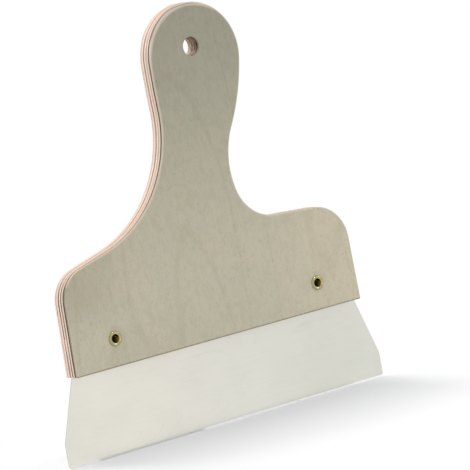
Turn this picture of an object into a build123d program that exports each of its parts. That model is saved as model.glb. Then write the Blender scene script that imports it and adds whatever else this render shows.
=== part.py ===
from build123d import *
import math
import os

# Taping knife: a plywood grip of nine veneers, a spring steel blade let into a saw kerf along
# its lower edge, and two tubular rivets. Millimetres, +Z up, front face towards -Y.
# The origin is under the middle of the plywood, level with the blade's working edge.

# Plywood
ply_count = 9
ply_thickness = 1.333
edge_break = 1.2                # sanded off along the grip's outline, front and back
foot_corner_radius = 1.0

# Block, the wide lower part of the grip
blade_overhang = 12.7           # the blade stands out past the block at each end
block_height = 65.0
side_draft_deg = 1.4

# Head and hanging hole
neck_length = 110.8             # from the block's top to the head's centre
head_radius = 34.5
head_across = 17.0              # the head stands to the right of the blade's middle
hole_radius = 6.0
hole_left_of_head = 2.0
hole_above_head = 6.9

# Right side of the grip: flank, hollow in two radii, shoulder, corner
right_leave_deg = 10.5          # where the flank leaves the head, below its widest point
right_neck_draw = 22.0          # neck drawn in from the head's side
right_upper_radius = 52.0
right_upper_end_deg = 15.0      # where the wide hollow passes into the tight one
right_hollow_radius = 29.5
right_shoulder_rise = 1.9       # the hollow's lowest point above the block's top
right_corner_radius = 24.0

# Left side of the grip: flank, one long hollow, shoulder, corner
left_leave_deg = -1.0
left_neck_draw = 0.4
left_hollow_radius = 77.3
left_shoulder_rise = 2.9
left_corner_radius = 20.0

# Blade
blade_width = 250.0
blade_thickness = 0.7
blade_show = 54.7               # how far the blade stands out below the grip
blade_widest_height = 16.0      # above the working edge
blade_shoulder_radius = 6.0
blade_corner_radius = 2.5
tang_inset = 0.6                # tang's end inside the block's side
bevel_height = 1.2              # grinding along the working edge
bevel_depth = 0.3

# Saw kerf, cut just behind one of the glue lines
kerf_glue_line = 5
kerf_clearance = 0.1            # on each face of the blade
kerf_end_gap = 0.5              # above the tang

# Tubular rivets
rivet_inset = 32.3              # from the block's side
rivet_height = 17.4             # above the grip's lower edge
tang_above_rivet = 6.6
rivet_bore_radius = 2.55
rivet_wall = 0.45
front_flange_lip = 1.55         # flange past the shank
back_flange_lip = 1.3
rivet_flange_rise = 0.8
rivet_flange_steps = 3          # flats over the flange's crown
rivet_hole_clearance = 0.1

cut_overrun = 5.0
on_face = 0.01                  # nearer than this counts as lying on a face

# Worked out from the sizes above
board_thickness = ply_count * ply_thickness
front_face_y = -board_thickness / 2
back_face_y = board_thickness / 2
block_width = blade_width - 2 * blade_overhang
head = Vector(head_across, block_height + neck_length)
hole_x = head.X - hole_left_of_head
hole_z = blade_show + head.Y + hole_above_head
kerf_width = blade_thickness + 2 * kerf_clearance
kerf_front_y = front_face_y + kerf_glue_line * ply_thickness
blade_front_y = kerf_front_y + kerf_clearance
rivet_z = blade_show + rivet_height
tang_top_z = rivet_z + tang_above_rivet
rivet_shank_radius = rivet_bore_radius + rivet_wall
rivet_hole_radius = rivet_shank_radius + rivet_hole_clearance
rivet_x = block_width / 2 - rivet_inset
rivet_centres = {"left": -rivet_x, "right": rivet_x}


def direction(degrees):
    """Unit vector at an angle from +X, in the drawing's plane."""
    return Vector(math.cos(math.radians(degrees)), math.sin(math.radians(degrees)))


def flank_arc(leave, outward, hollow, hollow_radius):
    """Arc that leaves the head square to outward and runs smoothly into the hollow."""
    reach = leave - hollow
    radius = (reach.dot(reach) - hollow_radius**2) / (2 * (hollow_radius + outward.dot(reach)))
    centre = leave - outward * radius
    return arc_about(centre, radius, leave, centre + (hollow - centre).normalized() * radius)


def shoulder_line(hollow, hollow_radius, corner, corner_radius):
    """Straight line from under the hollow to over the corner, tangent to both."""
    across = corner - hollow
    along = across.normalized()
    inward = Vector(along.Y, -along.X)
    cosine = (hollow_radius + corner_radius) / across.length
    lean = along * cosine + inward * math.sqrt(1 - cosine**2)
    return Line(hollow + lean * hollow_radius, corner - lean * corner_radius)


def arc_about(centre, radius, start, end):
    """Short arc about a centre, from one point to another."""
    middle = centre + ((start - centre) + (end - centre)).normalized() * radius
    return ThreePointArc(start, middle, end)


def side_edges(head_centre, leave_deg, neck_draw, hollow_radius, shoulder_rise, corner_radius,
               upper_radius=None, upper_end_deg=0):
    """One side of the grip from the head down to its lower edge, drawn on the +X side."""
    outward = direction(-leave_deg)
    leave = head_centre + outward * head_radius
    neck = head_centre.X + head_radius - neck_draw
    hollow = Vector(neck + hollow_radius, block_height + shoulder_rise + hollow_radius)

    foot = Vector(block_width / 2, 0)
    side_out = direction(side_draft_deg)
    side_up = direction(90 + side_draft_deg)
    corner_height = block_height - corner_radius
    side_top = foot + side_up * ((corner_height + corner_radius * side_out.Y) / side_up.Y)
    corner = side_top - side_out * corner_radius
    shoulder = shoulder_line(hollow, hollow_radius, corner, corner_radius)

    edges = []
    if upper_radius is None:
        flank = flank_arc(leave, outward, hollow, hollow_radius)
        hollow_start = flank @ 1
    else:
        upper_out = direction(180 + upper_end_deg)
        hollow_start = hollow + upper_out * hollow_radius
        upper = hollow_start - upper_out * upper_radius
        flank = flank_arc(leave, outward, upper, upper_radius)
        edges.append(arc_about(upper, upper_radius, flank @ 1, hollow_start))
    edges.append(flank)
    edges.append(arc_about(hollow, hollow_radius, hollow_start, shoulder @ 0))
    edges.append(shoulder)
    edges.append(arc_about(corner, corner_radius, shoulder @ 1, side_top))
    edges.append(Line(side_top, foot))
    return edges, leave


def grip_outline():
    """Outline of the grip, in X and height above its lower edge."""
    right, right_leave = side_edges(
        head, right_leave_deg, right_neck_draw, right_hollow_radius, right_shoulder_rise,
        right_corner_radius, right_upper_radius, right_upper_end_deg)
    left, left_leave = side_edges(
        Vector(-head.X, head.Y), left_leave_deg, left_neck_draw, left_hollow_radius,
        left_shoulder_rise, left_corner_radius)
    left = [edge.mirror(Plane.YZ) for edge in left]
    top = ThreePointArc(Vector(-left_leave.X, left_leave.Y), head + Vector(0, head_radius),
                        right_leave)
    foot = Line(Vector(-block_width / 2, 0), Vector(block_width / 2, 0))
    return make_face([top, foot] + right + left)


def upright(drawing, y, z):
    """Stands a flat drawing up: its X stays X, its Y becomes height above z."""
    return Plane(origin=(0, y, z), x_dir=(1, 0, 0), z_dir=(0, -1, 0)) * drawing


def cross_hole(x, z, radius):
    """Cutter for a round hole right through from front to back."""
    return Pos(x, 0, z) * Rot(90, 0, 0) * Cylinder(radius, board_thickness + 2 * cut_overrun)


def kerf_cutter():
    """Cutter for the saw kerf, open below and at both sides."""
    top = tang_top_z + kerf_end_gap
    box = Box(block_width + 2 * cut_overrun, kerf_width, top - blade_show + cut_overrun,
              align=(Align.CENTER, Align.MIN, Align.MAX))
    return Pos(0, kerf_front_y, top) * box


def board():
    """The whole grip before it is told apart into veneers, its lower edge left sharp."""
    solid = extrude(upright(grip_outline(), front_face_y, blade_show), -board_thickness)
    rims = [edge for edge in solid.edges()
            if abs(abs(edge.center().Y) - board_thickness / 2) < on_face
            and abs(edge.center().Z - blade_show) > on_face]
    solid = chamfer(rims, edge_break)
    corners = [edge for edge in solid.edges().filter_by(Axis.Y)
               if abs(edge.center().Z - blade_show) < on_face]
    solid = fillet(corners, foot_corner_radius)
    solid -= cross_hole(hole_x, hole_z, hole_radius)
    for x in rivet_centres.values():
        solid -= cross_hole(x, rivet_z, rivet_hole_radius)
    return solid - kerf_cutter()


def ply_name(number):
    """Node name of a veneer, counted from the front."""
    if number == 1:
        kind = "front_face"
    elif number == ply_count:
        kind = "back_face"
    elif 2 * number == ply_count + 1:
        kind = "core"
    else:
        kind = "long_band" if number % 2 else "cross_band"
    return f"handle_ply_{number}_{kind}"


def plies():
    """The veneers of the grip, front to back, each a slice of the board."""
    whole = board()
    width = block_width + 2 * cut_overrun
    height = block_height + neck_length + head_radius + 2 * cut_overrun
    slab = Box(width, ply_thickness, height, align=(Align.CENTER, Align.MIN, Align.MIN))
    made = {}
    for number in range(1, ply_count + 1):
        y = front_face_y + (number - 1) * ply_thickness
        made[ply_name(number)] = whole & (Pos(0, y, blade_show - cut_overrun) * slab)
    return made


def blade_outline():
    """Blade with its tang, in X and height above the working edge."""
    tang_half = block_width / 2 - tang_inset
    half = blade_width / 2
    right = [(tang_half, tang_top_z), (tang_half, blade_show), (half, blade_widest_height),
             (half, 0)]
    left = [(-x, z) for x, z in reversed(right)]
    face = make_face(Polyline(right + left, close=True))
    for height, radius in ((blade_widest_height, blade_shoulder_radius),
                           (0, blade_corner_radius)):
        ends = [v for v in face.vertices() if abs(v.Y - height) < on_face]
        face = fillet(ends, radius)
    return face


def blade():
    """Steel sheet with its working edge ground at the front and two holes for the rivets."""
    sheet = extrude(upright(blade_outline(), blade_front_y, 0), -blade_thickness)
    for x in rivet_centres.values():
        sheet -= cross_hole(x, rivet_z, rivet_hole_radius)
    edge = [e for e in sheet.edges().filter_by(Axis.X)
            if abs(e.center().Z) < on_face and abs(e.center().Y - blade_front_y) < on_face]
    return chamfer(edge, bevel_height, bevel_depth)


def flange_edges(face_y, lip, rise):
    """Rolled flange that runs from the bore over its crown to its seat on the wood."""
    half = (rivet_wall + lip) / 2
    middle = rivet_bore_radius + half
    roll = []
    for step in range(rivet_flange_steps + 1):
        turn = math.pi * step / rivet_flange_steps
        roll.append(Vector(middle - half * math.cos(turn), face_y + rise * math.sin(turn)))
    return [Polyline(roll), Line(roll[-1], Vector(rivet_shank_radius, face_y))]


def rivet(x):
    """Tubular rivet: a tube with a flange in front and one rolled over behind."""
    sides = [Line(Vector(radius, front_face_y), Vector(radius, back_face_y))
             for radius in (rivet_bore_radius, rivet_shank_radius)]
    front = flange_edges(front_face_y, front_flange_lip, -rivet_flange_rise)
    back = flange_edges(back_face_y, back_flange_lip, rivet_flange_rise)
    return Pos(x, 0, rivet_z) * revolve(make_face(sides + front + back), Axis.Y)


def pieces():
    """Every piece by its node name."""
    made = plies()
    made["blade"] = blade()
    for side, x in rivet_centres.items():
        made[f"rivet_{side}"] = rivet(x)
    return made


os.makedirs("parts", exist_ok=True)
for name, piece in pieces().items():
    export_step(piece, f"parts/{name}.step")
    print(name, round(piece.volume, 1))
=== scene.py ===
import math
import bpy
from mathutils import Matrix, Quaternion, Vector


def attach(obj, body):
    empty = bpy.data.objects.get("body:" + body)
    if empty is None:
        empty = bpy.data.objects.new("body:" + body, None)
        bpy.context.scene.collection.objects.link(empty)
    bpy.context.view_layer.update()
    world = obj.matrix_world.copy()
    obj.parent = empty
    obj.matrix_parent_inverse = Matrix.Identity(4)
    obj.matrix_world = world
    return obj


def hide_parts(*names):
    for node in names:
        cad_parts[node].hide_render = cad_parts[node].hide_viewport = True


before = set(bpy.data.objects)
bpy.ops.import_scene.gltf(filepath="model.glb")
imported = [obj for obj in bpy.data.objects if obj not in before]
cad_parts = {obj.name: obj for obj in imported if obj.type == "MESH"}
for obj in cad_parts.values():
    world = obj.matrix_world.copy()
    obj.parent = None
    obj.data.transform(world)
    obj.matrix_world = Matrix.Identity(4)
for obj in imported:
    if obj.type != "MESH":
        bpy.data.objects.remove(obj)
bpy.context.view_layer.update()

mm = 0.001
scene = bpy.context.scene
scene.view_settings.view_transform = "Standard"


# helpers that add nodes to any tree
def feed(value, socket):
    if isinstance(value, bpy.types.NodeSocket):
        socket.id_data.links.new(value, socket)
    else:
        socket.default_value = value


def treeOf(*values):
    # the tree that the values come from, of which one at least comes out of a node
    return next(value.id_data for value in values if isinstance(value, bpy.types.NodeSocket))


def addNode(tree, kind, sockets=None, **settings):
    made = tree.nodes.new(kind)
    count = len(tree.nodes)
    made.location = (220 * (count % 12), -320 * (count // 12))      # laid out twelve to a row
    for name, value in settings.items():
        setattr(made, name, value)
    for key, value in (sockets or {}).items():
        feed(value, made.inputs[key])
    return made


def runNode(tree, kind, sockets=None, **settings):
    # adds a node and gives what comes out of it first
    return addNode(tree, kind, sockets, **settings).outputs[0]


def shape(kind, sockets, **settings):
    return runNode(treeOf(*sockets.values()), "GeometryNode" + kind, sockets, **settings)


def calc(operation, *values, clamp=False):
    return runNode(treeOf(*values), "ShaderNodeMath", dict(enumerate(values)), operation=operation,
                   use_clamp=clamp)


def times(first, *others):
    for other in others:
        first = calc("MULTIPLY", first, other)
    return first


def plus(first, second):
    return calc("ADD", first, second)


def minus(first, second):
    return calc("SUBTRACT", first, second)


def scaled(value, factor, start):
    return calc("MULTIPLY_ADD", value, factor, start)


def vectorCalc(operation, first, *second, **named):
    made = addNode(first.id_data, "ShaderNodeVectorMath", {**dict(enumerate((first, *second))), **named},
                   operation=operation)
    return made.outputs["Value" if operation in ("LENGTH", "DOT_PRODUCT") else "Vector"]


def along(vector, way):
    return vectorCalc("DOT_PRODUCT", vector, way)


def stretched(vector, factors):
    return vectorCalc("MULTIPLY", vector, factors)


def combine(tree, x, y, z):
    return runNode(tree, "ShaderNodeCombineXYZ", {"X": x, "Y": y, "Z": z})


def over(value, limit):
    return runNode(value.id_data, "FunctionNodeCompare", {"A": value, "B": limit}, data_type="FLOAT",
                   operation="GREATER_THAN")


def newTree(name, kind, inputs, outputs):
    # an input is given its default, or a word for a kind of socket that has none
    tree = bpy.data.node_groups.new(name, kind)
    kinds = {float: "Float", int: "Int", tuple: "Vector"}
    for title, default in inputs.items():
        plain = isinstance(default, str)
        socketKind = "NodeSocket" + (default if plain else kinds[type(default)])
        made = tree.interface.new_socket(title, in_out="INPUT", socket_type=socketKind)
        if not plain:
            made.default_value = default
    for title in outputs:
        socketKind = "NodeSocketGeometry" if title == "Geometry" else "NodeSocketFloat"
        tree.interface.new_socket(title, in_out="OUTPUT", socket_type=socketKind)
    return tree, addNode(tree, "NodeGroupInput").outputs, addNode(tree, "NodeGroupOutput").inputs


cameraSet = {
    "place": (-1.20213, -1.71413, 0.34899),
    "azimuth": -35.644,
    "elevation": 6.342,
    "roll": -10.12,
    "lens": 257.35,
}


def makeCamera(setup):
    turn, lift = math.radians(setup["azimuth"]), math.radians(setup["elevation"])
    back = Vector((math.sin(turn) * math.cos(lift), -math.cos(turn) * math.cos(lift), math.sin(lift)))
    camera = bpy.data.objects.new("camera", bpy.data.cameras.new("camera"))
    camera.data.lens = setup["lens"]
    camera.location = setup["place"]
    camera.rotation_mode = "QUATERNION"
    aim = (-back).to_track_quat("-Z", "Y")
    camera.rotation_quaternion = aim @ Quaternion((0, 0, 1), math.radians(setup["roll"]))
    scene.collection.objects.link(camera)
    scene.camera = camera


makeCamera(cameraSet)
print("camera set")

# in a flat drawing every point carries its place, the way inwards and its share of the rim
drawing = {
    "pointGap": 1.0,                     # mm and degrees between outline points
    "pointTurn": 4.0,
    "samePoint": 1e-4,                   # nearer than this they are one
    "holePoints": 72,
}


def unit(degrees):
    return Vector((math.cos(math.radians(degrees)), math.sin(math.radians(degrees))))


def arcRun(centre, start, end, solidInside):
    first, last = start - centre, end - centre
    sweep = math.atan2(first.cross(last), first.dot(last))
    count = max(math.ceil(first.length * abs(sweep) / drawing["pointGap"]),
                math.ceil(math.degrees(abs(sweep)) / drawing["pointTurn"]), 1)
    run = []
    for step in range(count + 1):
        angle = sweep * step / count
        spoke = Vector((first.x * math.cos(angle) - first.y * math.sin(angle),
                        first.x * math.sin(angle) + first.y * math.cos(angle)))
        run.append((centre + spoke, spoke.normalized() * (-1 if solidInside else 1), 1.0))
    return run


def widen(run, factor):
    return [(spot, inward * factor, share) for spot, inward, share in run]


def lineRun(start, end, inwardStart, inwardEnd, share=1.0):
    count = max(math.ceil((end - start).length / drawing["pointGap"]), 1)
    return [(start.lerp(end, step / count), inwardStart.lerp(inwardEnd, step / count), share)
            for step in range(count + 1)]


def closeLoop(runs):
    points = []
    for run in runs:
        for point in run:
            if not points or (point[0] - points[-1][0]).length > drawing["samePoint"]:
                points.append(point)
    if (points[0][0] - points[-1][0]).length < drawing["samePoint"]:
        points.pop()
    return points


def holeLoop(x, height, radius, share):
    count = drawing["holePoints"]
    spokes = [unit(360 * step / count) for step in range(count)]
    return [(Vector((x, height)) + spoke * radius, spoke * share, share) for spoke in spokes]


def drawFlat(name, loops):
    points, edges = [], []
    for loop in loops:
        start = len(points)
        points += loop
        edges += [(start + step, start + (step + 1) % len(loop)) for step in range(len(loop))]
    flat = bpy.data.meshes.new(name)
    flat.from_pydata([(spot.x * mm, spot.y * mm, 0) for spot, inward, share in points], edges, [])
    flat.attributes.new("drawIn", "FLOAT_VECTOR", "POINT")
    flat.attributes.new("rimShare", "FLOAT", "POINT")
    inwards = [part for spot, inward, share in points for part in (inward.x, inward.y, 0)]
    flat.attributes["drawIn"].data.foreach_set("vector", inwards)
    flat.attributes["rimShare"].data.foreach_set("value", [share for spot, inward, share in points])
    return flat


grip = {
    "veneers": 9,
    "veneerThickness": 1.333,
    "footHeight": 54.7,
    "blockWidth": 224.6,
    "blockHeight": 65.0,
    "sideDraft": 1.4,
    "footCorner": 1.0,
    "headCentre": (17.0, 175.8),
    "headRadius": 34.5,
    "hole": (15.0, 182.7, 6.0),          # across, height above the foot and radius, as of the rivets' holes
    "holeEase": 0.35,
    "rivetHoles": ((-80.0, 17.4, 3.1), (80.0, 17.4, 3.1)),
    "edgeRound": 1.2,
    "handWidth": 1.8,                    # along head, neck and sweep the rounding is this much wider
    "topWidth": 2.7,                     # and widest over the head's top
    "topTurns": (40, 80, 100, 168),      # where that begins, is full, and ends, in degrees round the head
    "sideShare": 0.25,                   # the block's sides are hardly rounded
    "innerEase": 0.04,
    "land": 0.5,
    "roundSteps": 6,
    "kerf": {"ply": 5, "top": 24.5, "depth": 0.9},      # counted from 0 at the front, above the foot
}
rightSide = {"leave": 10.5, "neckDraw": 22.0, "upperRadius": 52.0, "upperEnd": 15.0,
             "hollowRadius": 29.5, "shoulderRise": 1.9, "cornerRadius": 24.0}
leftSide = {"leave": -1.0, "neckDraw": 0.4, "hollowRadius": 77.3, "shoulderRise": 2.9,
            "cornerRadius": 20.0}
halfBoard = grip["veneers"] * grip["veneerThickness"] / 2


def flankRun(leave, outward, hollow, hollowRadius):
    reach = leave - hollow
    radius = (reach.dot(reach) - hollowRadius**2) / (2 * (hollowRadius + outward.dot(reach)))
    centre = leave - outward * radius
    end = centre + (hollow - centre).normalized() * radius
    return arcRun(centre, leave, end, True), end


def gripSide(side, headAcross):
    head = Vector((headAcross, grip["headCentre"][1]))
    outward = unit(-side["leave"])
    leave = head + outward * grip["headRadius"]
    hollowRadius = side["hollowRadius"]
    hollow = Vector((head.x + grip["headRadius"] - side["neckDraw"] + hollowRadius,
                     grip["blockHeight"] + side["shoulderRise"] + hollowRadius))
    runs = []
    if "upperRadius" in side:             # a wide hollow that tightens above the shoulder
        upperOut = unit(180 + side["upperEnd"])
        hollowStart = hollow + upperOut * hollowRadius
        upper = hollowStart - upperOut * side["upperRadius"]
        flank, flankEnd = flankRun(leave, outward, upper, side["upperRadius"])
        runs += [flank, arcRun(upper, flankEnd, hollowStart, False)]
    else:
        flank, hollowStart = flankRun(leave, outward, hollow, hollowRadius)
        runs.append(flank)

    draft = math.radians(grip["sideDraft"])
    sideOut, sideUp = unit(grip["sideDraft"]), unit(90 + grip["sideDraft"])
    foot = Vector((grip["blockWidth"] / 2, 0))
    tight = side["cornerRadius"]
    sideTop = foot + sideUp * ((grip["blockHeight"] - tight + tight * sideOut.y) / sideUp.y)
    corner = sideTop - sideOut * tight
    across = corner - hollow
    ahead = across.normalized()
    cosine = (hollowRadius + tight) / across.length
    lean = ahead * cosine + Vector((ahead.y, -ahead.x)) * math.sqrt(1 - cosine**2)
    shoulderStart, shoulderEnd = hollow + lean * hollowRadius, corner - lean * tight

    small = grip["footCorner"]
    footCentre = Vector((foot.x - small * (1 + math.sin(draft)) / math.cos(draft), small))
    footTop, footEnd = footCentre + sideOut * small, Vector((footCentre.x, 0))
    level = Vector((-1 / math.cos(draft), 0))
    wide, low = grip["handWidth"], grip["sideShare"]
    runs.append(arcRun(hollow, hollowStart, shoulderStart, False))
    runs = [widen(run, wide) for run in runs]
    runs.append(lineRun(shoulderStart, shoulderEnd, lean * wide, lean))

    # the rounding fades over the corner's second half, and to nothing at the foot
    cornerRun = arcRun(corner, shoulderEnd, sideTop, True)
    last = len(cornerRun) - 1
    fades = [1 - (1 - low) * max(2 * step / last - 1, 0) for step in range(last + 1)]
    runs.append([(spot, inward * fade, fade) for (spot, inward, share), fade in zip(cornerRun, fades)])
    runs.append(lineRun(sideTop, footTop, -sideOut * low, level * low, low))
    footRun = arcRun(footCentre, footTop, footEnd, True)
    last = len(footRun) - 1
    runs.append([(spot, level * low * (1 - step / last), low)
                 for step, (spot, inward, share) in enumerate(footRun)])
    return runs, leave, footEnd


def mirrored(run):
    return [(Vector((-spot.x, spot.y)), Vector((-inward.x, inward.y)), share)
            for spot, inward, share in reversed(run)]


def widenTop(run, head):
    low, lowFull, highFull, high = grip["topTurns"]
    made = []
    for spot, inward, share in run:
        turn = math.degrees(math.atan2(spot.y - head.y, spot.x - head.x))
        rise = max(min((turn - low) / (lowFull - low), (high - turn) / (high - highFull), 1), 0)
        factor = grip["handWidth"] + (grip["topWidth"] - grip["handWidth"]) * rise**2 * (3 - 2 * rise)
        made.append((spot, inward * factor, share))
    return made


def gripLoops():
    across, height = grip["headCentre"]
    right, rightLeave, footEnd = gripSide(rightSide, across)
    left, leftLeave = gripSide(leftSide, -across)[:2]
    head = Vector((across, height))
    top = Vector((across, height + grip["headRadius"]))
    leftLeave = Vector((-leftLeave.x, leftLeave.y))
    foot = lineRun(footEnd, -footEnd, Vector((0, 0)), Vector((0, 0)), grip["sideShare"])   # left sharp
    runs = right + [foot] + [mirrored(run) for run in reversed(left)]
    runs += [widenTop(arcRun(head, *ends, True), head) for ends in ((leftLeave, top), (top, rightLeave))]
    small = grip["holeEase"] / grip["edgeRound"]
    return [closeLoop(runs)] + [holeLoop(*hole, small) for hole in (grip["hole"],) + grip["rivetHoles"]]


blade = {
    "thickness": 0.7,
    "front": 0.7665,
    "tangHalf": 111.7,
    "tangTop": 78.7,
    "show": 54.7,
    "half": 125.0,
    "widest": 16.0,
    "shoulderRadius": 6.0,
    "cornerRadius": 2.5,
    "rivetHoles": ((-80.0, 72.1, 3.1), (80.0, 72.1, 3.1)),
    "ease": 0.06,
    "backEase": 0.002,
    "land": 0.05,
    "grindHeight": 1.2,
    "grindDepth": 0.3,
}


def bendRun(before, corner, after, radius):
    # rounds a corner of a drawing, solid on its inner side
    back, ahead = (before - corner).normalized(), (after - corner).normalized()
    half = back.angle(ahead) / 2
    centre = corner + (back + ahead).normalized() * (radius / math.sin(half))
    reach = radius / math.tan(half)
    return arcRun(centre, corner + back * reach, corner + ahead * reach, True)


def bladeLoops():
    half, ease = blade["half"], blade["ease"]
    tang = Vector((blade["tangHalf"], blade["tangTop"]))
    waist = Vector((blade["tangHalf"], blade["show"]))
    shoulder, tip = Vector((half, blade["widest"])), Vector((half, 0))
    shoulderRun = bendRun(waist, shoulder, tip, blade["shoulderRadius"])
    tipRun = bendRun(shoulder, tip, Vector((0, 0)), blade["cornerRadius"])

    # the grinding grows along the rounded tip and is full along the working edge
    grind = Vector((0, blade["grindHeight"] / ease))
    depth = blade["grindDepth"] / ease
    grown = [(step / (len(tipRun) - 1))**2 for step in range(len(tipRun))]
    tipRun = [(spot, inward.lerp(grind, part), 1 + (depth - 1) * part)
              for (spot, inward, share), part in zip(tipRun, grown)]
    slant = (waist - shoulder).normalized()
    slantIn, leftward, downward = Vector((-slant.y, slant.x)), Vector((-1, 0)), Vector((0, -1))
    right = [
        lineRun(tang, waist, leftward, leftward),
        lineRun(waist, shoulderRun[0][0], slantIn, slantIn),
        shoulderRun,
        lineRun(shoulderRun[-1][0], tipRun[0][0], leftward, leftward),
        tipRun,
    ]
    edge = lineRun(tipRun[-1][0], Vector((-tipRun[-1][0].x, 0)), grind, grind, depth)
    topRun = lineRun(Vector((-tang.x, tang.y)), tang, downward, downward)
    loops = [closeLoop(right + [edge] + [mirrored(run) for run in reversed(right)] + [topRun])]
    return loops + [holeLoop(*hole, 1.0) for hole in blade["rivetHoles"]]


sheetSet = {
    "slotOverrun": 0.005,                # how far the saw cut's cutter stands out past the sheet
    "cutterLength": 1.0,
    "weld": 2e-6,                        # these three in metres
    "corner": 32,                        # degrees, sharper edges than this stay sharp
}


def cutSlot(mesh, value):
    # a saw cut into the front, open below and at both ends, for a sheet that has one
    top, depth, spare = value["Slot Top"], value["Slot Depth"], sheetSet["slotOverrun"]
    tree = mesh.id_data
    size = combine(tree, sheetSet["cutterLength"], plus(top, spare), plus(depth, spare))
    place = combine(tree, 0.0, times(minus(top, spare), 0.5),
                    minus(times(minus(spare, depth), 0.5), value["Front"]))
    cutter = shape("MeshCube", {"Size": size})
    cutter = shape("Transform", {"Geometry": cutter, "Translation": place})
    cut = shape("MeshBoolean", {"Mesh 1": mesh, "Mesh 2": cutter}, operation="DIFFERENCE", solver="EXACT")
    return shape("Switch", {"Switch": over(depth, 0.0), "False": mesh, "True": cut}, input_type="GEOMETRY")


def finishMesh(mesh, material, corner):
    # smooth everywhere but over real corners, then made plain and painted
    angle = addNode(mesh.id_data, "GeometryNodeInputMeshEdgeAngle").outputs["Unsigned Angle"]
    smooth = shape("SetShadeSmooth", {"Geometry": mesh, "Shade Smooth": True}, domain="FACE")
    sharp = {"Geometry": smooth, "Selection": over(angle, math.radians(corner)), "Shade Smooth": False}
    smooth = shape("SetShadeSmooth", sharp, domain="EDGE")
    real = shape("RealizeInstances", {"Geometry": smooth})
    return shape("SetMaterial", {"Geometry": real, "Material": material})


def makeSheetTree():
    # turns a flat drawing into a sheet with an eased rim
    tree, value, result = newTree("cutSheet", "GeometryNodeTree", {
        "Geometry": "Geometry",
        "Front": 0.0,
        "Lift": 0.0,
        "Thickness": 0.001,
        "Front Round": 0.0001,
        "Back Round": 0.0001,
        "Land": 0.0001,
        "Round Steps": 1,
        "Slot Top": 0.0,
        "Slot Depth": 0.0,
        "Material": "Material",
    }, ["Geometry"])
    carried = {"drawIn": "FLOAT_VECTOR", "rimShare": "FLOAT"}
    fields = {name: runNode(tree, "GeometryNodeInputNamedAttribute", {"Name": name}, data_type=kind)
              for name, kind in carried.items()}
    drawIn, rimShare = fields.values()

    def moveBy(inset, rise):
        return vectorCalc("ADD", vectorCalc("SCALE", drawIn, Scale=inset), combine(tree, 0.0, 0.0, rise))

    # back face, drawn in by the rounding and its land, and filled
    backHeight = minus(times(value["Front"], -1.0), value["Thickness"])
    firstMove = moveBy(plus(value["Back Round"], value["Land"]), backHeight)
    flat = shape("SetPosition", {"Geometry": value["Geometry"], "Offset": firstMove})
    curve = shape("MeshToCurve", {"Mesh": flat})
    fill = shape("FillCurve", {"Curve": curve}, mode="TRIANGLES")
    fill = shape("Transform", {"Geometry": fill, "Translation": combine(tree, 0.0, 0.0, backHeight)})
    # filling drops what the points carry, so it is taken over from the nearest ones
    near = shape("SampleNearest", {"Geometry": flat}, domain="POINT")
    for name, kind in carried.items():
        taken = shape("SampleIndex", {"Geometry": flat, "Value": fields[name], "Index": near},
                      data_type=kind, domain="POINT")
        fill = shape("StoreNamedAttribute", {"Geometry": fill, "Name": name, "Value": taken},
                     data_type=kind, domain="POINT")

    def grow(geometry, top, inset, rise):
        made = addNode(tree, "GeometryNodeExtrudeMesh",
                       {"Mesh": geometry, "Selection": top, "Offset Scale": 0.0, "Individual": False},
                       mode="FACES").outputs
        moved = shape("SetPosition", {"Geometry": made["Mesh"], "Selection": made["Top"],
                                      "Offset": moveBy(inset, rise)})
        return moved, made["Top"]

    def roundRim(geometry, top, radius, opening):
        loopIn = addNode(tree, "GeometryNodeRepeatInput")
        loopOut = addNode(tree, "GeometryNodeRepeatOutput")
        loopIn.pair_with_output(loopOut)
        loopOut.repeat_items.new("BOOLEAN", "Top")
        for name, given in (("Iterations", value["Round Steps"]), ("Geometry", geometry), ("Top", top)):
            feed(given, loopIn.inputs[name])
        quarter = calc("DIVIDE", math.pi / 2, value["Round Steps"])
        before = times(loopIn.outputs["Iteration"], quarter)
        after = plus(before, quarter)
        sineStep = minus(calc("SINE", after), calc("SINE", before))
        cosineStep = minus(calc("COSINE", before), calc("COSINE", after))
        outStep, upStep = (sineStep, cosineStep) if opening else (cosineStep, sineStep)
        inset = times(outStep, radius, -1.0 if opening else 1.0)
        rise = times(upStep, radius, rimShare)
        grown = grow(loopIn.outputs["Geometry"], loopIn.outputs["Top"], inset, rise)
        for name, given in zip(("Geometry", "Top"), grown):
            feed(given, loopOut.inputs[name])
        return loopOut.outputs["Geometry"], loopOut.outputs["Top"]

    # land, rounding, straight wall, rounding and land, from the back to the front
    everyFace = runNode(tree, "FunctionNodeInputBool", boolean=True)
    rounds = plus(value["Front Round"], value["Back Round"])
    straight = minus(value["Thickness"], times(rounds, rimShare))
    mesh, top = grow(fill, everyFace, times(value["Land"], -1.0), 0.0)
    mesh, top = roundRim(mesh, top, value["Back Round"], True)
    mesh, top = grow(mesh, top, 0.0, straight)
    mesh, top = roundRim(mesh, top, value["Front Round"], False)
    mesh, top = grow(mesh, top, value["Land"], 0.0)

    # close the back, cut the slot and stand it up
    joined = addNode(tree, "GeometryNodeJoinGeometry")
    for part in (mesh, shape("FlipFaces", {"Mesh": fill})):
        feed(part, joined.inputs[0])
    whole = shape("MergeByDistance", {"Geometry": joined.outputs[0], "Distance": sheetSet["weld"]})
    whole = cutSlot(whole, value)
    for name in carried:
        whole = shape("RemoveAttribute", {"Geometry": whole, "Name": name})
    whole = shape("Transform", {"Geometry": whole, "Rotation": (math.pi / 2, 0, 0),
                                "Translation": combine(tree, 0.0, 0.0, value["Lift"])})
    feed(finishMesh(whole, value["Material"], sheetSet["corner"]), result["Geometry"])
    return tree


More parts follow.
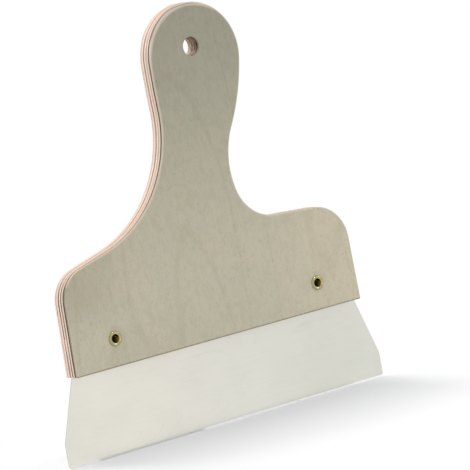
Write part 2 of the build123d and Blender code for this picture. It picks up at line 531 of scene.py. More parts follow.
def growPiece(name, flat, tree, values):
    # runs a tree on a drawing and keeps the plain mesh that comes out
    piece = bpy.data.objects.new(name, flat)
    scene.collection.objects.link(piece)
    made = piece.modifiers.new(tree.name, "NODES")
    made.node_group = tree
    for item in tree.interface.items_tree:
        if item.in_out == "INPUT" and item.name in values:
            made[item.identifier] = values[item.name]
    bpy.context.view_layer.update()
    whole = bpy.data.meshes.new_from_object(piece.evaluated_get(bpy.context.evaluated_depsgraph_get()))
    piece.modifiers.clear()
    whole.name = name
    whole.materials.clear()
    whole.materials.append(values["Material"])
    whole.polygons.foreach_set("material_index", [0] * len(whole.polygons))
    piece.data = whole
    return piece


def newMaterial(name):
    material = bpy.data.materials.new(name)
    material.use_nodes = True
    return material, material.node_tree, material.node_tree.nodes["Principled BSDF"]


def shown(red, green, blue):
    # a colour as it looks on screen, made linear
    return tuple((c / 12.92 if c <= 0.04045 else ((c + 0.055) / 1.055)**2.4)
                 for c in (red / 255, green / 255, blue / 255)) + (1.0,)


def mixColor(factor, first, second, blend="MIX"):
    # sockets 6 and 7 are the colours A and B, and output 2 is what comes of them
    return addNode(treeOf(factor, first, second), "ShaderNodeMix", {"Factor": factor, 6: first, 7: second},
                   data_type="RGBA", blend_type=blend).outputs[2]


def tinted(factor, color, tint):
    return mixColor(factor, color, mixColor(1.0, color, tint, "MULTIPLY"))


def spread(value, low, high, newLow=0.0, newHigh=1.0):
    # goes smoothly from one value to another as the first one passes from low to high
    return runNode(value.id_data, "ShaderNodeMapRange",
                   {"Value": value, "From Min": low, "From Max": high, "To Min": newLow, "To Max": newHigh},
                   interpolation_type="SMOOTHSTEP")


def tintBy(pattern, color, setup):
    return tinted(spread(pattern, *setup["span"]), color, setup["tint"])


def paint(color, mask, setup, top=None):
    # lays a colour over part of another
    return mixColor(times(mask, setup["share"]), color, top or setup["color"])


def noise(vector, scale, detail=3.0, roughness=0.5, distortion=0.0, stretch=None):
    if stretch:
        vector = stretched(vector, stretch)
    return runNode(vector.id_data, "ShaderNodeTexNoise", {"Vector": vector, "Scale": scale, "Detail": detail,
                                                          "Roughness": roughness, "Distortion": distortion})


def bumpOf(height, setup, **sockets):
    return runNode(height.id_data, "ShaderNodeBump", {"Strength": setup["strength"], "Height": height,
                                                      "Distance": setup["distance"], **sockets})


def roughOf(pattern, setup):
    return scaled(pattern, setup["roughSpan"], setup["roughness"] - setup["roughSpan"] / 2)


def finishShader(shader, color, rough, normal):
    for name, value in (("Base Color", color), ("Roughness", rough), ("Normal", normal)):
        feed(value, shader.inputs[name])


def objectPlace(tree):
    place = addNode(tree, "ShaderNodeTexCoord").outputs["Object"]
    return place, addNode(tree, "ShaderNodeSeparateXYZ", {"Vector": place}).outputs


def shinyRay(light):
    return calc("MAXIMUM", light["Is Glossy Ray"], light["Is Transmission Ray"])


def useGroup(group, sockets):
    return addNode(treeOf(*sockets.values()), "ShaderNodeGroup", sockets, node_tree=group).outputs


# the groups' noises, drawn out along an axis where the stretch is under 1
patterns = {
    "fibres": {"detail": 4.0, "roughness": 0.62, "stretch": (1, 1, 0.035)},
    "figure": {"roughness": 0.55, "distortion": 0.7, "stretch": (1, 1, 0.75)},
    "mottle": {"roughness": 0.65, "distortion": 0.4, "stretch": (1, 1, 0.75)},
    "hills": {"scale": 11.0, "detail": 2.0, "roughness": 0.4, "distortion": 0.3, "stretch": (1, 1, 0.2)},
    "pores": {"scale": 2600.0, "detail": 1.0, "stretch": (1, 1, 0.22)},
    "wander": {"scale": 260.0, "detail": 2.0},
    "streaks": {"detail": 4.0, "roughness": 0.6, "stretch": (0.012, 1, 1)},
    "clouds": {"detail": 4.0, "roughness": 0.55, "distortion": 0.4},
}
patternSet = {
    "seedShift": (1.0, 1.7, 0.3),
    "mottleFiner": 5.0,
    "ringEdge": 0.09,
    "poreSpan": (0.65, 0.74),
    "glueWander": 0.00012,
}


def makeGrainGroup():
    # fibres, broad figure, growth rings and pores of a veneer whose grain runs along the vector's Z
    tree, value, result = newTree("veneerGrain", "ShaderNodeTree", {
        "Vector": "Vector",
        "Fibre Scale": 1400.0,
        "Figure Scale": 55.0,
        "Ring Count": 9.0,
        "Seed": 0.0,
    }, ["Fibres", "Figure", "Rings", "Pores", "Mottle"])
    moved = vectorCalc("ADD", value["Vector"], stretched(value["Seed"], patternSet["seedShift"]))
    finer = times(value["Figure Scale"], patternSet["mottleFiner"])
    steps = calc("PINGPONG", times(noise(moved, **patterns["hills"]), value["Ring Count"]), 0.5)
    feed(noise(moved, value["Fibre Scale"], **patterns["fibres"]), result["Fibres"])
    feed(noise(moved, value["Figure Scale"], **patterns["figure"]), result["Figure"])
    feed(noise(moved, finer, **patterns["mottle"]), result["Mottle"])
    feed(spread(steps, patternSet["ringEdge"], 0.0), result["Rings"])
    feed(spread(noise(moved, **patterns["pores"]), *patternSet["poreSpan"]), result["Pores"])
    return tree


def makeEndGrainGroup():
    # one where the surface cuts straight across the grain
    tree, value, result = newTree("endGrain", "ShaderNodeTree", {
        "Normal": "Vector",
        "Grain": (0.0, 0.0, 1.0),
        "From": 0.3,
        "To": 0.95,
    }, ["End"])
    facing = calc("ABSOLUTE", along(value["Normal"], value["Grain"]))
    feed(spread(facing, value["From"], value["To"]), result["End"])
    return tree


def makeGlueGroup():
    # the thin line where two veneers meet, by depth from the front
    tree, value, result = newTree("glueLine", "ShaderNodeTree", {
        "Vector": "Vector",
        "Thickness": 0.001,
        "Half Board": 0.006,
        "Line Width": 0.0001,
    }, ["Line"])
    depth = addNode(tree, "ShaderNodeSeparateXYZ", {"Vector": value["Vector"]}).outputs["Y"]
    wander = times(noise(value["Vector"], **patterns["wander"]), patternSet["glueWander"])
    count = calc("DIVIDE", plus(plus(depth, value["Half Board"]), wander), value["Thickness"])
    off = calc("ABSOLUTE", minus(count, calc("ROUND", count)))
    feed(spread(times(off, value["Thickness"]), value["Line Width"], 0.0), result["Line"])
    return tree


def makeDrilledGroup():
    # one within a radius of a hole's axis, fading past it
    tree, value, result = newTree("nearHole", "ShaderNodeTree", {
        "Vector": "Vector",
        "Centre": "Vector",
        "Radius": 0.006,
        "Fade": 0.0003,
    }, ["Near", "Distance"])
    away = stretched(vectorCalc("SUBTRACT", value["Vector"], value["Centre"]), (1, 0, 1))
    distance = vectorCalc("LENGTH", away)
    faded = plus(value["Radius"], value["Fade"])
    feed(spread(distance, faded, value["Radius"]), result["Near"])
    feed(distance, result["Distance"])
    return tree


def makeSatinGroup():
    # grinding or turning streaks and soft clouds on metal
    tree, value, result = newTree("satinMetal", "ShaderNodeTree", {
        "Vector": "Vector",
        "Streak Scale": 2500.0,
        "Cloud Scale": 25.0,
    }, ["Streaks", "Clouds"])
    feed(noise(value["Vector"], value["Streak Scale"], **patterns["streaks"]), result["Streaks"])
    feed(noise(value["Vector"], value["Cloud Scale"], **patterns["clouds"]), result["Clouds"])
    return tree


grainGroup = makeGrainGroup()
endGrainGroup = makeEndGrainGroup()
glueGroup = makeGlueGroup()
nearHoleGroup = makeDrilledGroup()
satinGroup = makeSatinGroup()

holePlace = (grip["hole"][0] * mm, 0, (grip["footHeight"] + grip["hole"][1]) * mm)
headPlace = (grip["headCentre"][0] * mm, 0, (grip["footHeight"] + grip["headCentre"][1]) * mm)
holeSpare = 0.02                         # mm, so that the mask of a hole's wall covers all of it


def glueMask(place, width):
    return useGroup(glueGroup, {"Vector": place, "Thickness": grip["veneerThickness"] * mm,
                                "Half Board": halfBoard * mm, "Line Width": width * mm})["Line"]


def nearAxis(place, centre, radius, fade):
    return useGroup(nearHoleGroup, {"Vector": place, "Centre": centre, "Radius": radius, "Fade": fade})


def holeMask(place, fade):
    return nearAxis(place, holePlace, (grip["hole"][2] + holeSpare) * mm, fade * mm)["Near"]


def satinMasks(place, setup):
    return useGroup(satinGroup, {"Vector": place, "Streak Scale": setup["streakScale"],
                                 "Cloud Scale": setup["cloudScale"]})


def crossGrain(place):
    # turns a pattern that runs upwards to run across
    return runNode(place.id_data, "ShaderNodeMapping", {"Vector": place, "Rotation": (0, math.pi / 2, 0)},
                   vector_type="POINT")


def endMask(tree, grain, low, high):
    normal = addNode(tree, "ShaderNodeNewGeometry").outputs["Normal"]
    return useGroup(endGrainGroup, {"Normal": normal, "Grain": grain, "From": low, "To": high})["End"]


# pairs are where a change begins and is full: shares of a pattern, or metres across, deep or up
# where a line says so it is in mm
faceVeneerSet = {
    # the head's darker tone is partly painted shade, partly the wood's own tone
    "headColor": shown(152, 148, 130),
    "blockColor": shown(190, 184, 163),
    "toneHeights": (0.27, 0.075),
    "warm": {"color": shown(198, 189, 166), "across": (0.02, 0.10), "height": (0.15, 0.09), "share": 0.9},
    "corner": {"tint": (0.86, 0.845, 0.83, 1), "across": (-0.055, -0.10), "height": (0.078, 0.10)},
    "figure": {"cool": (0.978, 0.99, 0.983, 1), "warm": (1.012, 1.0, 0.985, 1), "span": (0.36, 0.66)},
    "mottle": {"tint": (0.93, 0.924, 0.91, 1), "span": (0.40, 0.68)},
    "rings": {"tint": (0.90, 0.885, 0.86, 1), "share": 0.5},
    "fibres": {"tint": (0.97, 0.965, 0.955, 1), "span": (0.42, 0.72)},
    "pores": {"color": shown(118, 104, 80), "share": 0.4},
    "rim": {"color": shown(200, 187, 168), "sideColor": shown(122, 102, 82),
            # the back veneer's paler rim is painted light of the white background round its edge
            "backGlowColor": shown(238, 220, 208), "share": 0.8, "toBack": (-0.001, 0.001),
            "depths": (0.03, 0.5), "fromSide": (6, 2)},                     # both in mm
    # a painted highlight on the rounding over the head's top
    "litTopRim": {"color": shown(216, 205, 198), "share": 0.75, "depths": (0.0003, 0.0005),
               "skin": (0.0, 0.0001), "left": (0.3, 0.7)},
    "leftWay": (-0.42, 0, 0.91),         # from the head's middle to its upper left, and to its top
    "topWay": (0.09, 0, 0.996),
    "sanded": {"color": shown(120, 104, 92), "share": 0.75, "top": (0.80, 0.99), "left": (0.70, 0.85),
               "starts": (0.00070, 0.00025), "ends": (0.0014, 0.00046), "fade": (-0.00004, 0.00006)},
    "glue": {"color": shown(84, 66, 48), "share": 0.8,
             "width": 0.16, "depths": (0.9, 1.1)},                          # both in mm
    "foot": {"color": shown(136, 124, 97), "share": 0.85, "height": 0.0006, "ragged": 0.0009,
             "pattern": {"scale": 700.0}},
    "bore": {"color": shown(150, 128, 102), "share": 0.8, "fade": 0.35},    # mm
    "rivets": {"across": 0.08, "height": 0.0721, "seat": 0.0046, "dish": 0.0085, "fade": 0.0006,
               "share": 0.45, "press": {"strength": 1.0, "distance": 0.0005}},
    "relief": {"fibres": 0.5, "pores": 0.5, "rings": 0.15, "strength": 0.35, "distance": 0.00006},
    "roughness": 0.58,
    "roughSpan": 0.14,
    "seed": 3.1,
}


def makeFaceVeneer(setup):
    material, tree, shader = newMaterial("faceVeneer")
    place, (across, depth, height) = objectPlace(tree)
    grain = useGroup(grainGroup, {"Vector": place, "Seed": setup["seed"]})
    names = ("warm", "corner", "figure", "mottle", "rings", "fibres", "pores")
    warm, corner, figure, mottle, rings, fibres, pores = [setup[name] for name in names]

    def area(spans):
        return times(spread(across, *spans["across"]), spread(height, *spans["height"]))

    # tone from the head down to the block, warmer low on the right; the darker head is partly painted shade,
    # partly the wood's own tone
    color = mixColor(spread(height, *setup["toneHeights"]), setup["headColor"], setup["blockColor"])
    color = paint(color, area(warm), warm)
    color = tinted(area(corner), color, corner["tint"])

    # figure, rings, fibres and pores
    tint = mixColor(spread(grain["Figure"], *figure["span"]), figure["cool"], figure["warm"])
    color = mixColor(1.0, color, tint, "MULTIPLY")
    color = tintBy(grain["Mottle"], color, mottle)
    color = tinted(times(grain["Rings"], rings["share"]), color, rings["tint"])
    color = tintBy(grain["Fibres"], color, fibres)
    color = paint(color, grain["Pores"], pores)

    # sanded rim, paler on the back veneer: painted light of the white background round its edge
    rim, litTopRim, sanded = setup["rim"], setup["litTopRim"], setup["sanded"]
    outDepth = calc("ABSOLUTE", depth)
    fromSide = [(grip["blockWidth"] / 2 - distance) * mm for distance in rim["fromSide"]]
    atSide = spread(calc("ABSOLUTE", across), *fromSide)
    rimColor = mixColor(atSide, rim["color"], rim["sideColor"])
    # painted light: paler on the back veneer
    rimColor = mixColor(spread(depth, *rim["toBack"]), rimColor, rim["backGlowColor"])
    inRim = spread(outDepth, *[(halfBoard - distance) * mm for distance in rim["depths"]])
    color = paint(color, inRim, rim, rimColor)

    # over the head the rounding is lighter, a painted highlight where it faces the light above, and sanded
    # through to the next veneer along a line
    down = minus(halfBoard * mm, outDepth)
    fromHead = vectorCalc("SCALE", vectorCalc("SUBTRACT", place, headPlace),
                          Scale=1 / (grip["headRadius"] * mm))
    leftward = along(fromHead, setup["leftWay"])
    topward = along(fromHead, setup["topWay"])
    litTopColor = mixColor(spread(down, *litTopRim["depths"]), rim["color"], litTopRim["color"])
    headRimLight = times(spread(down, *litTopRim["skin"]), spread(leftward, *litTopRim["left"]))
    color = paint(color, headRimLight, litTopRim, litTopColor)
    lineStart = spread(topward, *sanded["top"], *sanded["starts"])
    lineEnd = spread(topward, *sanded["top"], *sanded["ends"])
    line = times(spread(minus(down, lineStart), *sanded["fade"]),
                 spread(minus(down, lineEnd), sanded["fade"][1], -sanded["fade"][1]),
                 spread(leftward, *sanded["left"]))
    color = paint(color, line, sanded)

    # glue line, a dark ragged line along the foot, and the hole's wall
    glue, foot, bore = setup["glue"], setup["foot"], setup["bore"]
    inner = spread(outDepth, *[(halfBoard - distance) * mm for distance in glue["depths"]])
    color = paint(color, times(glueMask(place, glue["width"]), inner), glue)
    ragged = scaled(noise(place, **foot["pattern"]), foot["ragged"], grip["footHeight"] * mm)
    footLine = spread(minus(height, ragged), foot["height"], 0.0)
    color = paint(color, footLine, foot)
    color = paint(color, holeMask(place, bore["fade"]), bore)

    # wood pressed in round the rivets
    rivets, relief = setup["rivets"], setup["relief"]
    beside = combine(tree, minus(calc("ABSOLUTE", across), rivets["across"]), depth, height)
    ring = nearAxis(beside, (0, 0, rivets["height"]), rivets["seat"], rivets["fade"])
    color = paint(color, ring["Near"], rivets, pores["color"])
    dish = spread(ring["Distance"], rivets["seat"], rivets["dish"])

    raised = minus(times(grain["Fibres"], relief["fibres"]), times(grain["Pores"], relief["pores"]))
    raised = minus(raised, times(grain["Rings"], relief["rings"]))
    pressed = bumpOf(dish, rivets["press"], Normal=bumpOf(raised, relief))
    finishShader(shader, color, roughOf(grain["Fibres"], setup), pressed)
    return material


# the way the fibres run, seed, share of end grain over the head, tones of the fibres' sides and ends
# fibres along X end at the block's sides, and those along Z over the head
# the long bands' sides and the last cross band grow paler towards the back: partly painted light of the
# white background round the back edge, partly the wood's own tone
bandSets = {
    "longBandOneWood": ("Z", 1.3, 1.0, shown(216, 200, 186), shown(196, 172, 154)),
    "coreWood": ("Z", 5.7, 1.0, shown(224, 208, 195), shown(202, 178, 160)),
    "longBandTwoWood": ("Z", 8.2, 1.0, shown(232, 210, 198), shown(208, 184, 168)),
    "crossBandOneWood": ("X", 2.4, 0.9, shown(146, 118, 96), shown(54, 42, 31)),
    "crossBandTwoWood": ("X", 4.9, 0.35, shown(208, 182, 162), shown(128, 102, 86)),
    "crossBandThreeWood": ("X", 6.6, 0.65, shown(190, 160, 142), shown(108, 80, 66)),
    "crossBandFourWood": ("X", 9.5, 0.5, shown(224, 202, 188), shown(190, 164, 150)),
}
bandShared = {
    "fibreScale": 2600.0,
    "figureScale": 90.0,
    "endSpan": (0.35, 0.97),
    "patches": {"pattern": {"scale": 48.0, "roughness": 0.6}, "span": (0.28, 0.6, 0.62, 1.0)},
    "headHeights": (0.11, 0.16),
    "figure": {"grey": (0.97, 0.965, 0.955, 1), "peach": (1.04, 0.985, 0.945, 1),
               "pattern": {"scale": 70.0, "detail": 2.0}, "span": (0.38, 0.64), "share": 0.8},
    "fibres": {"tint": (0.80, 0.75, 0.68, 1), "span": (0.40, 0.75, 0.0, 0.5)},
    "flecks": {"color": shown(88, 68, 48), "span": (0.70, 0.76), "side": 0.2, "end": 0.5,
               "pattern": {"scale": 330.0, "detail": 2.0, "stretch": (1, 2.5, 0.6)},
               "share": 0.5},            # of the pores
    "glue": {"color": shown(98, 76, 56), "share": 0.6, "width": 0.13},      # mm
    "wall": {"back": (0.84, 0.87, 0.72, 1), "front": (0.47, 0.46, 0.33, 1), "depths": (0.005, -0.004),
             "fade": 0.3},               # mm
    "torn": {"color": shown(66, 50, 34), "span": (0.50, 0.60), "share": 0.6,
             "pattern": {"scale": 520.0, "detail": 2.0, "stretch": (1, 1, 0.4)}},
    "relief": {"fibres": 0.6, "strength": 0.5, "distance": 0.00008},
    "roughness": 0.7,
    "roughSpan": 0.2,
}


def makeBandWood(name):
    way, seed, headShare, sideColor, endColor = bandSets[name]
    names = ("patches", "figure", "fibres", "flecks", "glue", "wall", "torn", "relief")
    patches, figure, fibres, flecks, glue, wall, torn, relief = [bandShared[name] for name in names]
    material, tree, shader = newMaterial(name)
    place, parts = objectPlace(tree)
    depth, height = parts[1:]
    crossing = way == "X"
    grain = useGroup(grainGroup, {"Vector": crossGrain(place) if crossing else place,
                                  "Fibre Scale": bandShared["fibreScale"],
                                  "Figure Scale": bandShared["figureScale"], "Seed": seed})
    end = endMask(tree, (1, 0, 0) if crossing else (0, 0, 1), *bandShared["endSpan"])

    # end grain is darker, in patches along the edge
    patch = noise(vectorCalc("ADD", place, (seed, 0, 0)), **patches["pattern"])
    headFade = spread(height, *bandShared["headHeights"], 1.0, headShare)
    cut = times(end, spread(patch, *patches["span"]), headFade)
    color = mixColor(cut, sideColor, endColor)
    peachy = spread(noise(place, **figure["pattern"]), *figure["span"])
    color = tinted(figure["share"], color, mixColor(peachy, figure["grey"], figure["peach"]))
    color = tintBy(grain["Fibres"], color, fibres)
    color = paint(color, grain["Pores"], flecks)
    fleck = spread(noise(place, **flecks["pattern"]), *flecks["span"])
    fleck = times(fleck, scaled(end, flecks["end"], flecks["side"]))
    color = mixColor(fleck, color, flecks["color"])
    color = paint(color, glueMask(place, glue["width"]), glue)

    # wall of the hanging hole, darker towards the front and torn
    bore = holeMask(place, wall["fade"])
    color = tinted(bore, color, mixColor(spread(depth, *wall["depths"]), wall["back"], wall["front"]))
    color = paint(color, times(spread(noise(place, **torn["pattern"]), *torn["span"]), bore), torn)

    raised = minus(times(grain["Fibres"], relief["fibres"]), grain["Pores"])
    finishShader(shader, color, roughOf(grain["Fibres"], bandShared), bumpOf(raised, relief))
    return material


bladeSteelSet = {
    # paler on the left and darker on the right: painted light and shade
    "litLeftColor": (0.81, 0.785, 0.71, 1),
    "shadedRightColor": (0.705, 0.705, 0.64, 1),
    "across": (-0.11, 0.11),
    "streakScale": 3200.0,
    "cloudScale": 22.0,
    "clouds": {"tint": (0.965, 0.97, 0.965, 1), "span": (0.40, 0.66), "rough": 0.10},
    "streaks": {"tint": (0.90, 0.90, 0.90, 1), "span": (0.45, 0.75, 0.0, 0.35), "rough": 0.16},
    "waves": {"tint": (0.972, 0.968, 0.958, 1), "scale": 60.0, "count": 60.0, "seed": 12.4,
              "span": (0.44, 0.58), "across": (-0.13, -0.04, 0.3, 1.0)},
    # the ground edge is a painted highlight on its right part and painted shade on its left
    "ground": {"color": (0.97, 0.97, 0.955, 1), "edgeShadeColor": (0.74, 0.74, 0.71, 1), "height": 0.0012,
               "fade": (0.00006, -0.00002), "depths": (-0.00003, -0.00006), "across": (-0.024, -0.019),
               "smoother": 0.12, "metallic": 0.4},
    # the sheet's cut edge darker: painted shade
    "edge": {"color": (0.50, 0.50, 0.48, 1), "span": (0.4, 0.8)},
    "relief": {"strength": 0.25, "distance": 0.00001},
    "roughness": 0.40,
}


def makeBladeSteel(setup):
    material, tree, shader = newMaterial("bladeSteel")
    place, (across, depth, height) = objectPlace(tree)
    names = ("clouds", "streaks", "waves", "ground", "edge", "relief")
    clouds, streaks, waves, ground, edge, relief = [setup[name] for name in names]
    satin = satinMasks(place, setup)
    # painted light on the left of the sheet and painted shade on its right
    color = mixColor(spread(across, *setup["across"]), setup["litLeftColor"], setup["shadedRightColor"])
    color = tintBy(satin["Clouds"], color, clouds)
    color = tintBy(satin["Streaks"], color, streaks)

    # faint waves from the rolling, along the sheet
    rolled = useGroup(grainGroup, {"Vector": crossGrain(place), "Figure Scale": waves["scale"],
                                   "Ring Count": waves["count"], "Seed": waves["seed"]})
    wave = times(rolled["Rings"], spread(rolled["Figure"], *waves["span"]), spread(across, *waves["across"]))
    color = tinted(wave, color, waves["tint"])

    # working edge, ground at the front alone, with a painted highlight along its right part and painted
    # shade along its left, and the sheet's cut edge darkened as painted shade
    backFace = (blade["front"] + blade["thickness"]) * mm
    inGrind = times(spread(height, *[ground["height"] + fade for fade in ground["fade"]]),
                    spread(depth, *[backFace + fade for fade in ground["depths"]]))
    litEdgeSpan = spread(across, *ground["across"])
    color = mixColor(inGrind, color, mixColor(litEdgeSpan, ground["edgeShadeColor"], ground["color"]))
    # painted shade on the sheet's cut edge
    color = mixColor(endMask(tree, (0, 1, 0), *edge["span"]), edge["color"], color)
    smooth = setup["roughness"] - (streaks["rough"] + clouds["rough"]) / 2
    rough = scaled(satin["Clouds"], clouds["rough"], scaled(satin["Streaks"], streaks["rough"], smooth))
    rough = minus(rough, times(inGrind, ground["smoother"]))
    metallic = scaled(times(inGrind, litEdgeSpan), ground["metallic"] - 1, 1.0)
    feed(metallic, shader.inputs["Metallic"])
    finishShader(shader, color, rough, bumpOf(satin["Streaks"], relief))
    return material


rivetBrassSet = {
    "across": 0.08,
    "height": 0.0721,
    "streakScale": 900.0,
    "cloudScale": 420.0,
    "color": (0.39, 0.325, 0.13, 1),
    "brightColor": (0.62, 0.54, 0.27, 1),
    "cloudSpan": (0.38, 0.68),
    # the ring's lower left duller: painted shade
    "shadedSide": {"color": (0.37, 0.335, 0.20, 1), "way": (-0.95, 0, -0.3), "span": (0.0008, 0.0034)},
    # a painted glint low on the inner lip
    "paintedGlint": {"color": (0.98, 0.93, 0.76, 1), "place": (-0.0005, 0, -0.0029), "radius": 0.0004,
                "fade": 0.0005},
    # darker inside the bore: painted shade
    "bore": {"color": (0.13, 0.105, 0.03, 1), "radius": 0.00285, "fade": 0.00006},
    # the bore's right wall lighter: a painted reflection
    "litWall": {"color": (0.27, 0.205, 0.045, 1), "way": (0.93, 0, -0.37), "span": (0.0014, 0.0026),
              "depths": (-0.0015, -0.0050)},
    # near black deep in the bore: painted shade
    "boreShade": {"color": (0.006, 0.004, 0.002, 1), "depths": (0.0031, 0.0022), "ragged": 0.0012, "rough": 0.4},
    "specular": 0.1,
    "relief": {"strength": 0.3, "distance": 0.00003},
    "roughness": 0.20,
    "roughSpan": 0.2,
}


def makeRivetBrass(setup):
    material, tree, shader = newMaterial("rivetBrass")
    across, depth, height = objectPlace(tree)[1]
    names = ("shadedSide", "paintedGlint", "bore", "litWall", "boreShade", "relief")
    shadedSide, paintedGlint, bore, litWall, boreShade, relief = [setup[name] for name in names]
    middle = times(calc("SIGN", across), setup["across"])
    beside = combine(tree, minus(across, middle), depth, minus(height, setup["height"]))
    satin = satinMasks(beside, setup)
    color = mixColor(spread(satin["Clouds"], *setup["cloudSpan"]), setup["color"], setup["brightColor"])
    # painted shade on the ring's lower left
    color = mixColor(spread(along(beside, shadedSide["way"]), *shadedSide["span"]), color, shadedSide["color"])
    # painted glint on the inner lip
    glintSpot = nearAxis(beside, paintedGlint["place"], paintedGlint["radius"], paintedGlint["fade"])["Near"]
    color = mixColor(glintSpot, color, paintedGlint["color"])
    # painted shade inside the bore
    inBore = nearAxis(beside, (0, 0, 0), bore["radius"], bore["fade"])["Near"]
    color = mixColor(inBore, color, bore["color"])

    # painted shade, near black deep inside, and a painted reflection of the lit wall at the right of its
    # opening
    reach = scaled(satin["Clouds"], boreShade["ragged"], calc("ABSOLUTE", depth))
    deepShade = times(inBore, spread(reach, *boreShade["depths"]))
    # painted reflection on the bore's right wall
    rightward = spread(along(beside, litWall["way"]), *litWall["span"])
    litWallMask = times(rightward, spread(depth, *litWall["depths"]), inBore)
    color = mixColor(litWallMask, color, litWall["color"])
    color = mixColor(deepShade, color, boreShade["color"])
    rough = scaled(deepShade, boreShade["rough"], roughOf(satin["Clouds"], setup))
    shader.inputs["Specular IOR Level"].default_value = setup["specular"]
    feed(minus(1.0, calc("MAXIMUM", deepShade, litWallMask)), shader.inputs["Metallic"])
    finishShader(shader, color, rough, bumpOf(satin["Clouds"], relief))
    return material


faceVeneer = makeFaceVeneer(faceVeneerSet)
bandWood = {name: makeBandWood(name) for name in bandSets}
bladeSteel = makeBladeSteel(bladeSteelSet)
rivetBrass = makeRivetBrass(rivetBrassSet)
print("materials made")

sheetTree = makeSheetTree()
gripFlat = drawFlat("gripDrawing", gripLoops())

veneerNames = ["frontVeneer", "crossBandOne", "longBandOne", "crossBandTwo", "coreVeneer",
               "crossBandThree", "longBandTwo", "crossBandFour", "backVeneer"]
veneerNodes = sorted(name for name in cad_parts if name.startswith("handle_ply"))


def makeVeneer(number):
    thickness, kerf = grip["veneerThickness"], grip["kerf"]
    outerFront, outerBack = number == 0, number == grip["veneers"] - 1
    outer = outerFront or outerBack
    values = {
        "Front": (number * thickness - halfBoard) * mm,
        "Lift": grip["footHeight"] * mm,
        "Thickness": thickness * mm,
        "Front Round": (grip["edgeRound"] if outerFront else grip["innerEase"]) * mm,
        "Back Round": (grip["edgeRound"] if outerBack else grip["innerEase"]) * mm,
        "Land": (grip["land"] if outer else grip["innerEase"]) * mm,
        "Round Steps": grip["roundSteps"] if outer else 1,
        "Material": faceVeneer if outer else bandWood[veneerNames[number].replace("Veneer", "") + "Wood"],
    }
    if number == kerf["ply"]:
        values.update({"Slot Top": kerf["top"] * mm, "Slot Depth": kerf["depth"] * mm})
    piece = growPiece(veneerNames[number], gripFlat.copy(), sheetTree, values)
    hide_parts(veneerNodes[number])
    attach(piece, "root")
    print(piece.name, len(piece.data.polygons), "faces")


for number in range(grip["veneers"]):
    makeVeneer(number)
print("grip made")

bladePiece = growPiece("knifeBlade", drawFlat("bladeDrawing", bladeLoops()), sheetTree, {
    "Front": blade["front"] * mm,
    "Lift": 0.0,
    "Thickness": blade["thickness"] * mm,
    "Front Round": blade["ease"] * mm,
    "Back Round": blade["backEase"] * mm,
    "Land": blade["land"] * mm,
    "Round Steps": 1,
    "Material": bladeSteel,
})
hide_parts("blade")
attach(bladePiece, "root")
print("blade made")

rivet = {
    "bore": 2.55,
    "wall": 0.45,
    "frontLip": 1.55,
    "backLip": 1.3,
    "rise": 0.69,
    "places": {"rivet_left": (-80.0, 0, 72.1), "rivet_right": (80.0, 0, 72.1)},
    "segments": 96,
    "crownSteps": 14,
    "corner": 40,                        # degrees, sharper edges than this stay sharp
}


def rivetProfile():
    # half section as (radius, depth), round the tube once
    bore, shank = rivet["bore"], rivet["bore"] + rivet["wall"]
    points = []
    for sign, lip in ((-1, rivet["frontLip"]), (1, rivet["backLip"])):
        width = (rivet["wall"] + lip) / 2
        turns = [math.pi * step / rivet["crownSteps"] for step in range(rivet["crownSteps"] + 1)]
        crown = [(bore + width - width * math.cos(turn), sign * (halfBoard + rivet["rise"] * math.sin(turn)))
                 for turn in turns] + [(shank, sign * halfBoard)]
        points += crown if sign < 0 else crown[::-1]
    return points


def makeRivetTree():
    tree, value, result = newTree("turnedRivet", "GeometryNodeTree", {
        "Geometry": "Geometry",
        "Place": "Vector",
        "Segments": 64,
        "Turning Radius": 0.003,
        "Material": "Material",
    }, ["Geometry"])
    profile = shape("MeshToCurve", {"Mesh": value["Geometry"]})
    circle = shape("CurvePrimitiveCircle",
                   {"Resolution": value["Segments"], "Radius": value["Turning Radius"]})
    turned = shape("CurveToMesh", {"Curve": circle, "Profile Curve": profile})
    placed = shape("Transform", {"Geometry": turned, "Rotation": (math.pi / 2, 0, 0),
                                 "Translation": value["Place"]})
    feed(finishMesh(placed, value["Material"], rivet["corner"]), result["Geometry"])
    return tree


rivetTree = makeRivetTree()
turningRadius = rivet["bore"] + rivet["wall"]
profile = rivetProfile()
profileMesh = bpy.data.meshes.new("rivetProfile")
profileMesh.from_pydata([((radius - turningRadius) * mm, depth * mm, 0) for radius, depth in profile],
                        [(step, (step + 1) % len(profile)) for step in range(len(profile))], [])
for name, node in (("eyeletLeft", "rivet_left"), ("eyeletRight", "rivet_right")):
    piece = growPiece(name, profileMesh.copy(), rivetTree, {
        "Place": [distance * mm for distance in rivet["places"][node]],
        "Segments": rivet["segments"],
        "Turning Radius": turningRadius * mm,
        "Material": rivetBrass,
    })
    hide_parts(node)
    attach(piece, "root")
print("rivets made")

floorSet = {
    "reach": 60.0,
    "color": shown(229, 230, 233),
    "roughness": 0.9,
    "shadowHalf": 0.10,                  # half the shadow's width
    "sideways": 3.5,                     # past it the floor turns white this much sooner
    "shadowReach": 0.145,                # and it is white this far out in front and behind
    "falloff": 1.3,
    "mirrorRise": 100.0,
}


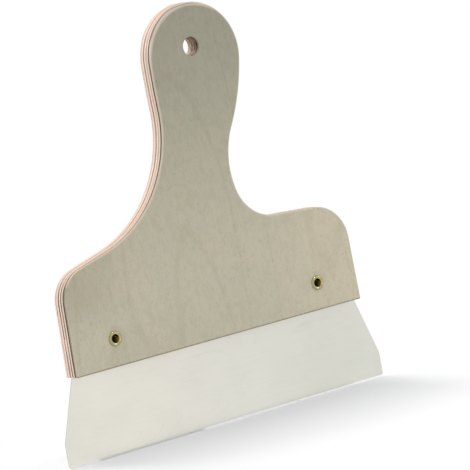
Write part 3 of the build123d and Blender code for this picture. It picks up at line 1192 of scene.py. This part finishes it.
def makeFloor(setup):
    reach = setup["reach"]
    mesh = bpy.data.meshes.new("floor")
    mesh.from_pydata([(-reach, -reach, 0), (reach, -reach, 0), (reach, reach, 0), (-reach, reach, 0)], [],
                     [(0, 1, 2, 3)])
    floor = bpy.data.objects.new("floor", mesh)
    material, tree, shader = newMaterial("paleFloor")
    shader.inputs["Base Color"].default_value = setup["color"]
    shader.inputs["Roughness"].default_value = setup["roughness"]
    shader.inputs["Specular IOR Level"].default_value = 0.0
    # past the shadow the floor is plain white to the camera, and sooner in reflections
    across, depth = objectPlace(tree)[1][:2]
    beside = calc("MAXIMUM", minus(calc("ABSOLUTE", across), setup["shadowHalf"]), 0.0)
    away = vectorCalc("LENGTH", combine(tree, times(beside, setup["sideways"]), depth, 0.0))
    far = calc("POWER", calc("DIVIDE", away, setup["shadowReach"], clamp=True), setup["falloff"])
    light = addNode(tree, "ShaderNodeLightPath").outputs
    soon = times(shinyRay(light), calc("MULTIPLY", away, setup["mirrorRise"], clamp=True))
    white = calc("MAXIMUM", times(light["Is Camera Ray"], far), soon)
    glow = runNode(tree, "ShaderNodeEmission", {"Color": (1, 1, 1, 1), "Strength": 1.0})
    both = runNode(tree, "ShaderNodeMixShader", {"Fac": white, 1: shader.outputs[0], 2: glow})
    feed(both, tree.nodes["Material Output"].inputs["Surface"])
    mesh.materials.append(material)
    scene.collection.objects.link(floor)


# place, aim and size in metres, power in watts
lampSet = {
    "keyLamp": {"place": (-0.12, 0.95, 0.95), "aim": (0, 0, 0.08), "size": 0.8, "power": 10.0,
                "color": (1.0, 0.98, 0.95)},
    "sideLamp": {"place": (-1.25, 0.12, 0.35), "aim": (0, 0, 0.15), "size": 0.7, "power": 2.5,
                 "color": (1.0, 0.96, 0.92)},
    "rimLamp": {"place": (1.1, -0.25, 0.45), "aim": (0, 0, 0.2), "size": 0.5, "power": 1.2,
                "color": (0.9, 0.96, 1.0)},
    "glintLamp": {"place": (0.25, -0.36, 1.15), "aim": (0, 0, 0.08), "size": 0.12, "power": 1.6,
                  "color": (1, 1, 1)},
}
skySet = {"low": 1.25, "top": 0.6}


def makeLamp(name, setup):
    lamp = bpy.data.lights.new(name, "AREA")
    lamp.shape = "DISK"
    lamp.size = setup["size"]
    lamp.energy = setup["power"]
    lamp.color = setup["color"]
    holder = bpy.data.objects.new(name, lamp)
    holder.location = setup["place"]
    holder.rotation_mode = "QUATERNION"
    holder.rotation_quaternion = (Vector(setup["aim"]) - Vector(setup["place"])).to_track_quat("-Z", "Y")
    scene.collection.objects.link(holder)


def makeSky(setup):
    # brighter low down, and plain white to the camera and in reflections
    world = bpy.data.worlds.new("softRoom")
    scene.world = world
    world.use_nodes = True
    sky = world.node_tree
    around = addNode(sky, "ShaderNodeTexCoord").outputs["Generated"]
    upwards = addNode(sky, "ShaderNodeSeparateXYZ", {"Vector": around}).outputs["Z"]
    glow = addNode(sky, "ShaderNodeMapRange", {"Value": upwards, "From Min": 0.0, "From Max": 1.0,
                                               "To Min": setup["low"], "To Max": setup["top"]})
    light = addNode(sky, "ShaderNodeLightPath").outputs
    seen = calc("MAXIMUM", light["Is Camera Ray"], shinyRay(light))
    strength = runNode(sky, "ShaderNodeMix", {"Factor": seen, 2: glow.outputs["Result"], 3: 1.0},
                       data_type="FLOAT")
    background = sky.nodes["Background"].inputs
    background["Color"].default_value = (1, 1, 1, 1)
    feed(strength, background["Strength"])


makeFloor(floorSet)
for lampName, lampSetup in lampSet.items():
    makeLamp(lampName, lampSetup)
makeSky(skySet)
print("floor and light made")
